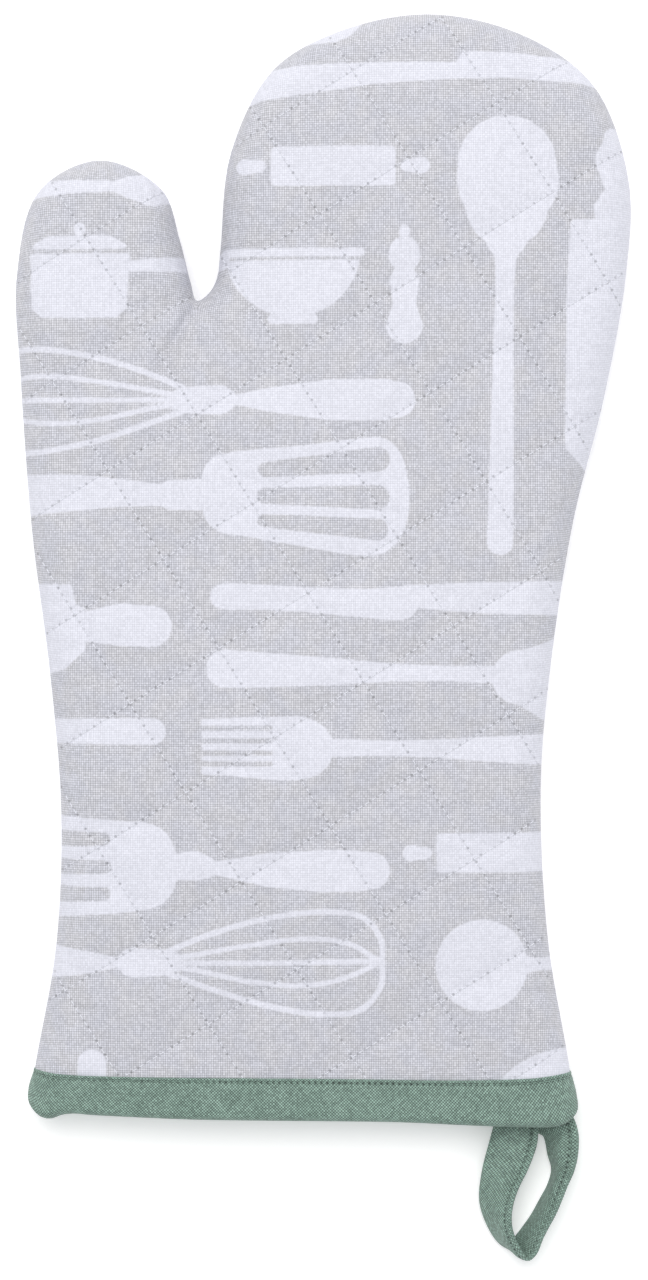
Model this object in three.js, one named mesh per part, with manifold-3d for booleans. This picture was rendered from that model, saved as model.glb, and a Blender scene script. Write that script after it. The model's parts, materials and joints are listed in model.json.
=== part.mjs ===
import * as THREE from 'three';
import { mergeVertices } from 'three/addons/utils/BufferGeometryUtils.js';
import Module from 'manifold-3d';

// A quilted oven mitt lying on its back, in millimetres. +Y runs from the cuff to the
// fingertips, +X away from the thumb and +Z up through the padding. Each face of the
// mitt is a printed cotton skin, a wadding and a cotton lining, quilted together. The
// soft mitt folds at the knuckles and at the thumb's root, so its layers are cut there.

const wasm = await Module();
wasm.setup();

// Driving dimensions.
const bodyLength = 330; // cuff edge to fingertips
const thickness = 32; // the padded mitt, from back to front
const edgeRound = 12; // how far in from the seam the faces become flat
const skinThickness = 1.5;
const waddingThickness = 3.4;
const liningThickness = 0.8;
const gap = 0.3; // between pieces that touch
const seamWall = 0.4; // the upright strip along the seam
const bindingHeight = 13;
const threadWidth = 0.7;
const threadThickness = 0.5;
const quiltPitch = 31;
const quiltCrossing = new THREE.Vector2(-5, 226);
const quiltAngles = [32, -58]; // degrees from +X, of the two families of stitch lines
const knuckleFold = 60; // degrees either way
const thumbFold = 45;
const loopSwing = 60;
const tapeThickness = 2.2;
const tapeWidth = 13.5;
const threadSunk = 0.15; // how far the threads lie under the surface
const grooveDepth = 2 * threadSunk + threadThickness;
const stitchFromEdge = 1.4; // of the binding
const quiltFromBinding = 2;

const middle = thickness / 2;
const waddingInset = skinThickness + gap;
const liningInset = waddingInset + waddingThickness + gap;
const cavityInset = liningInset + liningThickness;

// The seam line round the mitt, seen from the front. It goes on below the cuff edge at
// y = 0, where the open mouth is cut.
const seamPoints = [
  [-88, -40], // below the cuff, on the thumb's side
  [-80.8, 13],
  [-74, 52],
  [-72.4, 92], // the waist
  [-75.8, 134],
  [-81, 175],
  [-84.5, 222],
  [-85.6, 252],
  [-79, 277], // the thumb's tip
  [-60.6, 286.4],
  [-42, 277.5],
  [-35.6, 260],
  [-33, 250],
  [-29.8, 245.4], // between thumb and hand
  [-26.7, 250],
  [-24.4, 264],
  [-21.8, 288],
  [-9.3, 313],
  [10, 324.6],
  [37.9, 330], // the fingertips
  [66, 323.6],
  [87, 308.5],
  [97.4, 280],
  [96.6, 252],
  [90, 215],
  [81, 179],
  [74.2, 136],
  [71.2, 100], // the waist
  [73.4, 54],
  [80, 15],
  [88, -40],
];
const pointsPerSpan = 2;

const crotch = new THREE.Vector2(-29.8, 245.4);

// The hanging loop's two strands, from the cuff to the tip.
const loopRoot = { y: -1, z: 7.7 };
const flatStrandLine = [
  [64, -1],
  [61.2, -10],
  [59, -19],
  [59, -27],
  [63, -35],
  [69.5, -39.5],
];
const edgeStrandLine = [
  [80, -1],
  [80.8, -8],
  [77.8, -18],
  [73.8, -29],
  [70.5, -38.5],
  [68, -42],
];

// Solids and meshes.

function solid(geometry) {
  const bare = geometry.clone();
  bare.deleteAttribute('normal');
  bare.deleteAttribute('uv');
  const merged = mergeVertices(bare, 1e-4);
  return new wasm.Manifold(
    new wasm.Mesh({
      numProp: 3,
      vertProperties: new Float32Array(merged.attributes.position.array),
      triVerts: new Uint32Array(merged.index.array),
    })
  );
}

function geometryOf(manifold) {
  const mesh = manifold.getMesh();
  const geometry = new THREE.BufferGeometry();
  geometry.setAttribute('position', new THREE.BufferAttribute(mesh.vertProperties, 3));
  geometry.setIndex(new THREE.BufferAttribute(mesh.triVerts, 1));
  return geometry;
}

// A box between two corners.
function block(low, high) {
  const size = high.map((value, i) => value - low[i]);
  const geometry = new THREE.BoxGeometry(...size);
  geometry.translate(...low.map((value, i) => value + size[i] / 2));
  return solid(geometry);
}

// A plan outline standing between two heights.
function slab(points, zLow, zHigh) {
  const shape = new THREE.Shape(points.map(([x, y]) => new THREE.Vector2(x, y)));
  const geometry = new THREE.ExtrudeGeometry(shape, {
    depth: zHigh - zLow,
    bevelEnabled: false,
  });
  geometry.translate(0, 0, zLow);
  return solid(geometry);
}

// The mitt's outer form, or the same form shrunk by an inset on every side.
const seamCurve = new THREE.CatmullRomCurve3(
  seamPoints.map(([x, y]) => new THREE.Vector3(x, y, 0)),
  false,
  'centripetal'
);
const seamOutline = seamCurve
  .getPoints((seamPoints.length - 1) * pointsPerSpan)
  .map((point) => new THREE.Vector2(point.x, point.y));

function pillow(inset) {
  const rise = middle - inset - seamWall / 2;
  const geometry = new THREE.ExtrudeGeometry(new THREE.Shape(seamOutline), {
    depth: seamWall,
    bevelThickness: rise,
    bevelSize: edgeRound - inset,
    bevelOffset: -edgeRound,
    bevelSegments: inset > waddingInset ? 2 : 3,
  });
  geometry.translate(0, 0, middle - seamWall / 2);
  return solid(geometry);
}

// The seam's outline shrunk by an inset, between two heights.
function plate(inset, zLow, zHigh) {
  const rim = (zHigh - zLow) / 4;
  const geometry = new THREE.ExtrudeGeometry(new THREE.Shape(seamOutline), {
    depth: zHigh - zLow - 2 * rim,
    bevelThickness: rim,
    bevelSize: 0,
    bevelOffset: -inset,
    bevelSegments: 1,
  });
  geometry.translate(0, 0, zLow + rim);
  return solid(geometry);
}

// The main body of a solid, without loose ends.
const largest = (shape) => shape.decompose().sort((a, b) => b.volume() - a.volume())[0];

// Half spaces, as blocks that reach farther than the mitt does.
const far = 400;
const above = (z) => block([-far, -far, z], [far, far, far]);
const below = (z) => block([-far, -far, -far], [far, far, z]);
const beyondY = (y) => block([-far, y, -far], [far, far, far]);
const betweenY = (low, high) => block([-far, low, -far], [far, high, far]);

// Folds. A fold is an axis at mid-thickness. The layers on both sides of it lean back
// from the axis, so that they can turn about it.
const knuckleSlope = -14; // degrees from +X, of the axis
const thumbSlope = 58.6;
const knuckleOffset = 22; // of the axis past the crotch
const thumbOffset = 18;
const leanSpare = 1; // degrees
const foldOverrun = 5; // of the cuts, above and below the mitt

function fold(slope, offset, limit) {
  const along = new THREE.Vector2(1, 0).rotateAround(
    new THREE.Vector2(),
    THREE.MathUtils.degToRad(slope)
  );
  const outward = new THREE.Vector2(-along.y, along.x);
  const origin = crotch.clone().addScaledVector(outward, offset);
  const lean = Math.tan(THREE.MathUtils.degToRad(limit / 2 + leanSpare));
  return { origin, outward, lean };
}

// Everything past a fold, starting with a notch that leans by the fold's angle. A side
// of 1 is the moving piece, and -1 is all that the standing piece gives up.
function pastFold({ origin, outward, lean }, side) {
  const height = middle + foldOverrun;
  const section = new THREE.Shape([
    new THREE.Vector2(side * gap, 0),
    new THREE.Vector2(side * (gap + height * lean), height),
    new THREE.Vector2(far, height),
    new THREE.Vector2(far, -height),
    new THREE.Vector2(side * (gap + height * lean), -height),
  ]);
  const geometry = new THREE.ExtrudeGeometry(section, {
    depth: 2 * far,
    bevelEnabled: false,
  });
  const xAxis = new THREE.Vector3(outward.x, outward.y, 0);
  const yAxis = new THREE.Vector3(0, 0, 1);
  const zAxis = new THREE.Vector3().crossVectors(xAxis, yAxis);
  const place = new THREE.Matrix4().makeBasis(xAxis, yAxis, zAxis);
  geometry.translate(0, 0, -far);
  geometry.applyMatrix4(place);
  geometry.translate(origin.x, origin.y, middle);
  return solid(geometry);
}

const knuckle = fold(knuckleSlope, knuckleOffset, knuckleFold);
const thumbRoot = fold(thumbSlope, thumbOffset, thumbFold);

const fingerSide = block([crotch.x, -far, -far], [far, far, far]);
const thumbSide = block([-far, -far, -far], [crotch.x, far, far]);
const fingersPart = pastFold(knuckle, 1).intersect(fingerSide);
const thumbPart = pastFold(thumbRoot, 1).intersect(thumbSide);
const handGivesUp = pastFold(knuckle, -1)
  .intersect(fingerSide)
  .add(pastFold(thumbRoot, -1).intersect(thumbSide));

const parts = {
  hand: (layer) => layer.subtract(handGivesUp),
  fingers: (layer) => layer.intersect(fingersPart),
  thumb: (layer) => layer.intersect(thumbPart),
};

// Materials.

const fabric = (color, roughness) =>
  new THREE.MeshStandardMaterial({ color, roughness, metalness: 0 });
const materials = {
  print: fabric(0xcbccd4, 0.92),
  wadding: fabric(0xf2f0ea, 1),
  lining: fabric(0xe9e9ee, 0.92),
  binding: fabric(0x7c9389, 0.88),
  loop: fabric(0x789181, 0.88),
  thread: fabric(0xdfe0e2, 0.75),
  bindingThread: fabric(0x6a8076, 0.75),
};

const layerMaterials = {
  skin: materials.print,
  wadding: materials.wadding,
  lining: materials.lining,
  quilting: materials.thread,
};

const mitt = new THREE.Group();

function add(name, shape, material) {
  const mesh = new THREE.Mesh(geometryOf(shape), material);
  mesh.name = name;
  mitt.add(mesh);
}

// Layers.

const seamClear = threadThickness / 2 + gap; // the skins stop here, above the seam thread
const skinLayer = pillow(0).subtract(pillow(skinThickness));
const waddingLayer = pillow(waddingInset).subtract(pillow(liningInset - gap));
const liningLayer = pillow(liningInset).subtract(pillow(cavityInset));

const faces = {
  front: { half: (clearance) => above(middle + clearance), surface: thickness, up: 1 },
  rear: { half: (clearance) => below(middle - clearance), surface: 0, up: -1 },
};

// The flat part of a face, above the binding, shrunk by a margin.
function quiltZone(margin) {
  const geometry = new THREE.ExtrudeGeometry(new THREE.Shape(seamOutline), {
    depth: thickness,
    bevelThickness: 1,
    bevelSize: 0,
    bevelOffset: -edgeRound - margin,
    bevelSegments: 1,
  });
  return solid(geometry).intersect(beyondY(bindingHeight + quiltFromBinding + margin));
}

// Straight lines in both directions, in a layer between two heights.
function lattice(width, zLow, zHigh) {
  const sideLines = Math.ceil(bodyLength / quiltPitch);
  let lines = null;
  for (const angle of quiltAngles) {
    for (let i = -sideLines; i <= sideLines; i += 1) {
      const line = new THREE.BoxGeometry(2 * far, width, zHigh - zLow);
      line.translate(0, i * quiltPitch, (zLow + zHigh) / 2);
      line.rotateZ(THREE.MathUtils.degToRad(angle));
      line.translate(quiltCrossing.x, quiltCrossing.y, 0);
      lines = lines ? lines.add(solid(line)) : solid(line);
    }
  }
  return lines;
}

// The stitch lines sunk in a face: the groove that they pull, and the thread in it.
function quilting({ surface, up }) {
  const layer = (width, top, bottom, margin) => {
    const heights = [surface - up * top, surface - up * bottom].sort((a, b) => a - b);
    return lattice(width, ...heights).intersect(quiltZone(margin));
  };
  return {
    groove: layer(threadWidth + 2 * gap, -1, grooveDepth, 0),
    thread: layer(threadWidth, threadSunk, threadSunk + threadThickness, gap),
  };
}

for (const [face, { half, surface, up }] of Object.entries(faces)) {
  const { groove, thread } = quilting({ surface, up });
  const aboveBinding = beyondY(bindingHeight + gap);
  const layers = {
    skin: skinLayer.intersect(half(seamClear)).intersect(aboveBinding).subtract(groove),
    wadding: waddingLayer.intersect(half(gap / 2)).intersect(beyondY(waddingInset)),
    lining: liningLayer.intersect(half(gap / 2)).intersect(aboveBinding),
    quilting: thread,
  };
  for (const [layer, shape] of Object.entries(layers)) {
    for (const [part, cut] of Object.entries(parts)) {
      add(`${face}_${layer}_${part}`, largest(cut(shape)), layerMaterials[layer]);
    }
  }
}

// The seam thread runs round the edge, between the two skins. On the hand it is left in
// three lengths: below the thumb, between thumb and fingers, and on the other side.
const seamThread = plate(gap, middle - threadThickness / 2, middle + threadThickness / 2)
  .subtract(plate(gap + threadWidth, 0, thickness))
  .intersect(beyondY(bindingHeight + gap));
add('seam_thread_fingers', parts.fingers(seamThread), materials.thread);
add('seam_thread_thumb', parts.thumb(seamThread), materials.thread);
const middleX = (piece) => (piece.boundingBox().min[0] + piece.boundingBox().max[0]) / 2;
const seamNames = ['seam_thread_thumb_side', 'seam_thread_crotch', 'seam_thread_outer_side'];
parts
  .hand(seamThread)
  .decompose()
  .sort((a, b) => middleX(a) - middleX(b))
  .forEach((piece, i) => add(seamNames[i], piece, materials.thread));

// The binding folds over the cuff edge, with the wadding's edge in its channel.
const stitchY = bindingHeight - stitchFromEdge;
const channel = pillow(skinThickness).subtract(pillow(liningInset));
const stitchGroove = betweenY(
  stitchY - threadWidth / 2 - gap,
  stitchY + threadWidth / 2 + gap
).subtract(pillow(grooveDepth));
const binding = pillow(0)
  .subtract(pillow(cavityInset))
  .intersect(betweenY(0, bindingHeight))
  .subtract(channel.intersect(beyondY(skinThickness)))
  .subtract(stitchGroove);
const topstitch = pillow(threadSunk)
  .subtract(pillow(threadSunk + threadThickness))
  .intersect(betweenY(stitchY - threadWidth / 2, stitchY + threadWidth / 2));
add('cuff_binding', binding, materials.binding);
add('binding_topstitch', topstitch, materials.bindingThread);

// The hanging loop is one folded tape. Its left strand lies flat and its right strand
// stands on edge. It turns about its root, so it leans back from there as a fold does.
const smooth = (points) =>
  new THREE.CatmullRomCurve3(
    points.map(([x, y]) => new THREE.Vector3(x, y, 0)),
    false,
    'centripetal'
  )
    .getPoints(points.length * 2)
    .map((point) => [point.x, point.y]);

// A strip of even width along a plan line.
function ribbon(line, width) {
  const side = (sign) =>
    line.map(([x, y], i) => {
      const [x0, y0] = line[Math.max(i - 1, 0)];
      const [x1, y1] = line[Math.min(i + 1, line.length - 1)];
      const normal = new THREE.Vector2(y0 - y1, x1 - x0).setLength((sign * width) / 2);
      return [x + normal.x, y + normal.y];
    });
  return [...side(1), ...side(-1).reverse()];
}

const flatStrand = smooth(flatStrandLine);
const edgeStrand = smooth(edgeStrandLine);
const rootGap = 2 * gap;
const rootSide = tapeWidth * Math.tan(THREE.MathUtils.degToRad(loopSwing));
const rootWedge = new THREE.Shape([
  new THREE.Vector2(-rootGap, 0),
  new THREE.Vector2(-rootGap - rootSide, tapeWidth),
  new THREE.Vector2(rootSide, tapeWidth),
  new THREE.Vector2(rootSide, -tapeWidth),
  new THREE.Vector2(-rootGap - rootSide, -tapeWidth),
]);
const rootCut = new THREE.ExtrudeGeometry(rootWedge, { depth: far, bevelEnabled: false });
rootCut.rotateX(Math.PI / 2);
rootCut.rotateZ(Math.PI / 2);
rootCut.translate(0, loopRoot.y, loopRoot.z);
const flatTop = loopRoot.z + tapeThickness / 2;
const loop = slab(ribbon(flatStrand, tapeWidth), flatTop - tapeThickness, flatTop)
  .add(
    slab(
      ribbon(edgeStrand, tapeThickness),
      loopRoot.z - tapeWidth / 2,
      loopRoot.z + tapeWidth / 2
    )
  )
  .subtract(solid(rootCut));
const stitchLine = flatStrand.slice(2, -3); // clear of the root and of the other strand
const loopStitching = slab(
  ribbon(stitchLine, threadWidth),
  flatTop + gap,
  flatTop + gap + threadThickness
);
add('hanging_loop', loop, materials.loop);
add('loop_stitching', loopStitching, materials.bindingThread);

// The tape's ends lie inside the cuff, on the binding's inner wall, under a bar tack.
const tailWidth = 10;
const tackMargin = 1;
const [tailX] = flatStrandLine[0];
const tailLow = [tailX - 1 - tailWidth / 2, skinThickness, cavityInset + gap];
const tailHigh = [tailX - 1 + tailWidth / 2, bindingHeight - 1, flatTop];
const tackY = bindingHeight / 2;
const tackLow = [tailLow[0] + tackMargin, tackY - threadWidth, flatTop + gap];
const tackHigh = [
  tailHigh[0] - tackMargin,
  tackY + threadWidth,
  flatTop + gap + threadThickness,
];
add('loop_tail', block(tailLow, tailHigh), materials.loop);
add('loop_bar_tack', block(tackLow, tackHigh), materials.bindingThread);

const box = new THREE.Box3().setFromObject(mitt);
const center = box.getCenter(new THREE.Vector3());
mitt.position.set(-center.x, -center.y, -box.min.z);

export default mitt;
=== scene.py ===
"""The looks of a quilted oven mitt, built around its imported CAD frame.

Lengths are in millimetres and in the mitt's own plan frame until a mesh is made: x = 0 is a
line up the mitt, y = 0 is the cuff edge and y grows towards the fingertips. to_row() turns
them into the frame's metres. Cloth carries its flat, undeformed coordinates in the attribute
"rest", its distance from the print's edge in "print" and its place among the stitch rows in
"stitch", so weave, print and needle holes stay put when the mitt folds.
"""

import json
import math

import bpy
import numpy as np
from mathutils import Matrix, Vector
from mathutils.geometry import delaunay_2d_cdt


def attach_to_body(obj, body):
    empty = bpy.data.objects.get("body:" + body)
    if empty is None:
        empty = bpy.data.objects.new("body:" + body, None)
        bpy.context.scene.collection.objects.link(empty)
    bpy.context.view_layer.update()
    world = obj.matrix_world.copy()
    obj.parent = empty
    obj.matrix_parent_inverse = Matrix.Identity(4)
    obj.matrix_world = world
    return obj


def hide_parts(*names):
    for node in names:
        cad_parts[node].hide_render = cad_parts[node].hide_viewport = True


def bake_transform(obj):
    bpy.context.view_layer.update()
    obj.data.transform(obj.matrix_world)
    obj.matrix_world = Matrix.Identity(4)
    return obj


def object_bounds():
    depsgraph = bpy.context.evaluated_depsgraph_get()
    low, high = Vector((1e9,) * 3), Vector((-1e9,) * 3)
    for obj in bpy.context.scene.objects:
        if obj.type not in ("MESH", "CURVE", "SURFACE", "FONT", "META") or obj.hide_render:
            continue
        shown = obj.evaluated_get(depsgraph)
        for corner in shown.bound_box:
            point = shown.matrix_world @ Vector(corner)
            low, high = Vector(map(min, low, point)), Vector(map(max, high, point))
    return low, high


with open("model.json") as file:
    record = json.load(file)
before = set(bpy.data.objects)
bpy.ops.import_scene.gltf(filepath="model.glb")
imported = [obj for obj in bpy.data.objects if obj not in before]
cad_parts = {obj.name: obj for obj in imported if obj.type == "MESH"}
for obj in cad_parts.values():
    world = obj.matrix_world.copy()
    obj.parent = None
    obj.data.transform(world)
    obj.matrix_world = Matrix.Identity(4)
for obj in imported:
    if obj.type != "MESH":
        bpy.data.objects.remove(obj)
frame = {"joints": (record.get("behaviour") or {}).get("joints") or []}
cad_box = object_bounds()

MM = 0.001
FRONT, REAR = 1, -1
SIDES = {"front": FRONT, "rear": REAR}

# ---------------------------------------------------------------- sizes, in millimetres

SEAM = [  # the seam line round the mitt, from below the cuff on the thumb's side
    (-88, -40), (-80.8, 13), (-74, 52), (-72.4, 92), (-75.8, 134), (-81, 175), (-84.5, 222),
    (-85.6, 252), (-79, 277), (-60.6, 286.4), (-42, 277.5), (-36.8, 263), (-33.5, 250.1),
    (-31.7, 244.5), (-28.5, 246.4), (-25.9, 250.9), (-24.8, 259.8), (-21.8, 288), (-9.3, 313),
    (10, 324.6), (37.9, 330), (66, 323.6), (87, 308.5), (97.4, 280), (96.6, 252), (90, 215),
    (81, 179), (74.2, 136), (71.2, 100), (73.4, 54), (80, 15), (88, -40),
]
RIM = [  # the cuff's lower edge, left to right
    (-82.4, 6), (-81.4, 2.9), (-78.6, 0.3), (-75.9, 0.1), (-72.9, 1.1), (-69, 1.7), (-63, 1.3),
    (-55, 0.9), (-32, 0), (0, -0.4), (29, -0.8), (50, -1.8), (62, -2.3), (73.8, -2.5),
    (77.6, -2.2), (80.2, -1.1), (81.8, 0.6), (82.4, 3.6),
]
CUFF_TOP = [  # the binding's upper edge
    (-82.4, 14.8), (-76, 13.9), (-60, 13.2), (0, 12.6), (55, 12.1), (70, 12.5), (82.4, 13.8),
]
CROTCH = (-31.4, 244.4)  # the corner between thumb and fingers
CREASES = [  # from the crotch: direction in degrees, depth, reach and width
    (-116, 2.4, 34, 2.3), (-92, 1.3, 28, 2.0), (-58, 1.2, 32, 2.4),
]

QUILT_CROSSING = (-5, 226)  # two stitch rows cross here
QUILT_ANGLE = math.radians(32)
QUILT_PITCH = 31
FINE = QUILT_PITCH / 38  # spacing of the finished cloth's vertices
COARSE = QUILT_PITCH / 16  # spacing of the simulated cloth's vertices
HIDDEN = 3  # spacing of the vertices of layers that only show at the mouth
EDGE_ROWS = 13  # vertex rows that follow the seam, each a step round the rolled edge
EDGE_STEP = math.radians(3.9)

SEAM_LEVEL = 14.2  # the seam's height over the table
SEAM_SINK = 4.2  # how much lower it is at the cuff, where the empty mitt lies flatter
FACE_RISE = {FRONT: 13.2, REAR: 12.8}  # from the seam to the flat of each face
FACE_SINK = 4.4
EDGE_ROUND = 13  # how far in from the seam the cloth rolls over
CROWN_RISE, CROWN_SINK, CROWN_REACH = 3.0, 1.8, 16  # the front's rise towards its middle
SWELL_RISE = 0.9  # the front's slow swells, as noise of two sizes
SWELLS = [(52, 3, 1), (23, 4, 0.4)]  # size, seed and share
SWELLS_FROM, SWELLS_FULL = 4, 30  # in from the seam
SWELLS_EASE = 0.6  # how much less of them shows at the cuff
TABLE_GAP = 0.35  # the back face rests this far over the table
PANEL = 5  # one padded panel's thickness
WADDING = (1.1, 4.4)  # how deep below the skin's face the wadding starts and ends
RELIEF_FROM, RELIEF_FULL = 7, 17  # from the cuff edge, where the binding holds it flat
SEAM_DIP, SEAM_DIP_WIDTH = 0.7, 1.1
PUFF = 0.34  # share of the simulated relief that the firm wadding lets show
RELIEF_SHARE = {FRONT: 1, REAR: 0.7}
CLOTH_END = 5  # the cloth ends here, inside the binding

BINDING_HEIGHT = 13
STITCH_PITCH = 2.4
STITCH_LENGTH = STITCH_PITCH * 0.7  # what shows of a quilting stitch
TOPSTITCH_PITCH = 1.8
TOPSTITCH_DROP = 1.15  # from the binding's upper edge
SEAM_STITCH = 2.6
SEAM_CLEAR = 1.6  # the quilting stops this far from the seam
CROTCH_FROM = 230  # above it, the seam that the hand keeps is the crotch's
THREAD_RADIUS = 0.17
WEAVE_PITCH = 0.68  # between the printed cloth's threads
TAPE_WEAVE_PITCH = 0.66
PLY_WAVES = 9000  # twists of the sewing thread, in radians to the metre

KNUCKLE_AXIS = (-24.478, 266.747)  # a point on the fold's axis
FOLDS = {  # a point on the axis, the way towards the folding body, and how far the bend reaches
    "fingers": (KNUCKLE_AXIS, (0.241922, 0.970296), 22),
    "thumb": ((-45.164, 254.778), (-0.853551, 0.52101), 18),
}
BENDS = {"loop": ([70, 3, 8], [70, -7, 8])}  # where each bend out of the hand starts and ends
for fold, (axis, way, reach) in FOLDS.items():
    BENDS[fold] = [[a + k * reach * w for a, w in zip(axis, way)] + [0] for k in (-1, 1)]

CLOTH_SCALE = 0.01  # one millimetre of cloth is simulated as a centimetre
CLOTH_STEPS = 30
CLOTH_PRESSURE = {
    "quality": 5, "mass": 0.3, "tension_stiffness": 15, "compression_stiffness": 15,
    "shear_stiffness": 5, "bending_stiffness": 0.08, "air_damping": 2,
    "vertex_group_mass": "held", "shrink_min": -0.045, "use_pressure": True,
    "uniform_pressure_force": 6,
}

# ---------------------------------------------------------------- light and camera, in metres

FLOOR_GLOW = 0.22  # a faintly lit table, which keeps the shadows soft
DOME_LIGHT = 0.67
KEY_PLACE, KEY_SIZE, KEY_WATTS = (-0.2, 1.5, 3.5), 2.8, 84.5
CAMERA_HEIGHT = 1.2
VIEW_TALL = 0.3822  # what the frame's height takes in
VIEW_CENTRE = (0.00014, 0.00068)


# ---------------------------------------------------------------- small tools


def unit(vectors):
    """The same directions, each of length 1."""
    return vectors / np.linalg.norm(vectors, axis=1, keepdims=True)


def spline(points, per_span):
    """A centripetal Catmull-Rom curve through the points, as an array."""
    p = np.array(points, float)
    p = np.vstack([2 * p[0] - p[1], p, 2 * p[-1] - p[-2]])
    out = []
    for a, b, c, d in zip(p, p[1:], p[2:], p[3:]):
        t1 = np.linalg.norm(b - a) ** 0.5
        t2 = t1 + np.linalg.norm(c - b) ** 0.5
        t3 = t2 + np.linalg.norm(d - c) ** 0.5
        t = np.linspace(t1, t2, per_span, endpoint=False)[:, None]
        ab = (t1 - t) / t1 * a + t / t1 * b
        bc = (t2 - t) / (t2 - t1) * b + (t - t1) / (t2 - t1) * c
        cd = (t3 - t) / (t3 - t2) * c + (t - t2) / (t3 - t2) * d
        abc = (t2 - t) / t2 * ab + t / t2 * bc
        bcd = (t3 - t) / (t3 - t1) * bc + (t - t1) / (t3 - t1) * cd
        out.append((t2 - t) / (t2 - t1) * abc + (t - t1) / (t2 - t1) * bcd)
    return np.vstack([*out, p[-2:-1]])


def run_of(line):
    """How far along the line each of its points lies."""
    return np.r_[0, np.cumsum(np.linalg.norm(np.diff(line, axis=0), axis=1))]


def sample(line, run, at):
    """The line where its run, one number for each of its points, reaches the given values."""
    return np.stack([np.interp(at, run, column) for column in line.T], 1)


def even(line, step):
    """The same line with its points an even step apart."""
    run = run_of(line)
    count = max(2, round(run[-1] / step) + 1)
    return sample(line, run, np.linspace(0, run[-1], count))


def normals_of(line):
    """Unit normals on the left of an open plan line."""
    tangent = unit(np.gradient(line, axis=0))
    return np.stack([-tangent[:, 1], tangent[:, 0]], 1)


def smooth(low, high, x):
    """0 at low to 1 at high, with level ends."""
    t = np.clip((x - low) / (high - low), 0, 1)
    return t * t * (3 - 2 * t)


def noise(points, size, seed):
    """Smooth noise from -1 to 1 with bumps about `size` across, at plan points."""
    cells = 64
    table = np.random.default_rng(seed).uniform(-1, 1, (cells, cells))
    p = points / size + 17.3  # keeps the origin off the noise's own grid
    cell = np.floor(p).astype(int)
    f = p - cell
    f = f * f * f * (f * (6 * f - 15) + 10)
    i, j = cell.T % cells
    i1, j1 = (i + 1) % cells, (j + 1) % cells
    low = table[i, j] * (1 - f[:, 0]) + table[i1, j] * f[:, 0]
    high = table[i, j1] * (1 - f[:, 0]) + table[i1, j1] * f[:, 0]
    return low * (1 - f[:, 1]) + high * f[:, 1]


def from_line(points, line):
    """Distance of each point to a line, and the nearest point on the line."""
    start, step = line[:-1], np.diff(line, axis=0)
    square = (step**2).sum(1)
    distance, nearest = np.empty(len(points)), np.empty((len(points), 2))
    at_once = 4000  # points, to save memory
    for k in range(0, len(points), at_once):
        p = points[k : k + at_once, None]
        t = np.clip(((p - start) * step).sum(2) / square, 0, 1)
        q = start + t[..., None] * step
        apart = ((p - q) ** 2).sum(2)
        best = apart.argmin(1)
        row = np.arange(len(best))
        distance[k : k + at_once] = np.sqrt(apart[row, best])
        nearest[k : k + at_once] = q[row, best]
    return distance, nearest


def inside(points, polygon):
    """Which points lie in a closed polygon."""
    x, y = points.T
    result = np.zeros(len(points), bool)
    for (x0, y0), (x1, y1) in zip(polygon, np.roll(polygon, -1, axis=0)):
        if y0 != y1:
            result ^= ((y0 > y) != (y1 > y)) & (x < (x1 - x0) * (y - y0) / (y1 - y0) + x0)
    return result


seam_line = spline(SEAM, 14)
seam_dense = even(seam_line, 0.8)
seam_normals = normals_of(seam_dense)
rim_line = spline(RIM, 8)
cuff_top_line = spline(CUFF_TOP, 8)

# The knuckle joint has a known place in both frames, which gives the shift between them.
knuckle = next(joint for joint in frame["joints"] if joint["name"] == "knuckle_fold")
row_shift = np.array(knuckle["pos_m"][:2]) / MM - np.array(KNUCKLE_AXIS)


def to_row(points):
    """Millimetres in the plan frame to metres in the row frame."""
    points = np.array(points, float)
    points[..., :2] += row_shift
    return points * MM


def quilt_frame(points):
    """Plan points in the frame of the stitch lines, which lie at whole pitches."""
    c, s = math.cos(QUILT_ANGLE), math.sin(QUILT_ANGLE)
    x, y = (points - np.array(QUILT_CROSSING)).T
    return np.stack([x * c + y * s, -x * s + y * c], 1)


def from_quilt_frame(points):
    """The plan points of points in the stitch lines' frame."""
    c, s = math.cos(QUILT_ANGLE), math.sin(QUILT_ANGLE)
    u, v = points.T
    return np.stack([u * c - v * s, u * s + v * c], 1) + np.array(QUILT_CROSSING)


def grid_quads(index):
    """Quads over a grid of vertex numbers, without those that touch a -1."""
    quads = np.stack([index[:-1, :-1], index[1:, :-1], index[1:, 1:], index[:-1, 1:]], -1)
    quads = quads.reshape(-1, 4)
    return quads[(quads >= 0).all(1)]


# ---------------------------------------------------------------- the quilted cloth's relief


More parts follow.
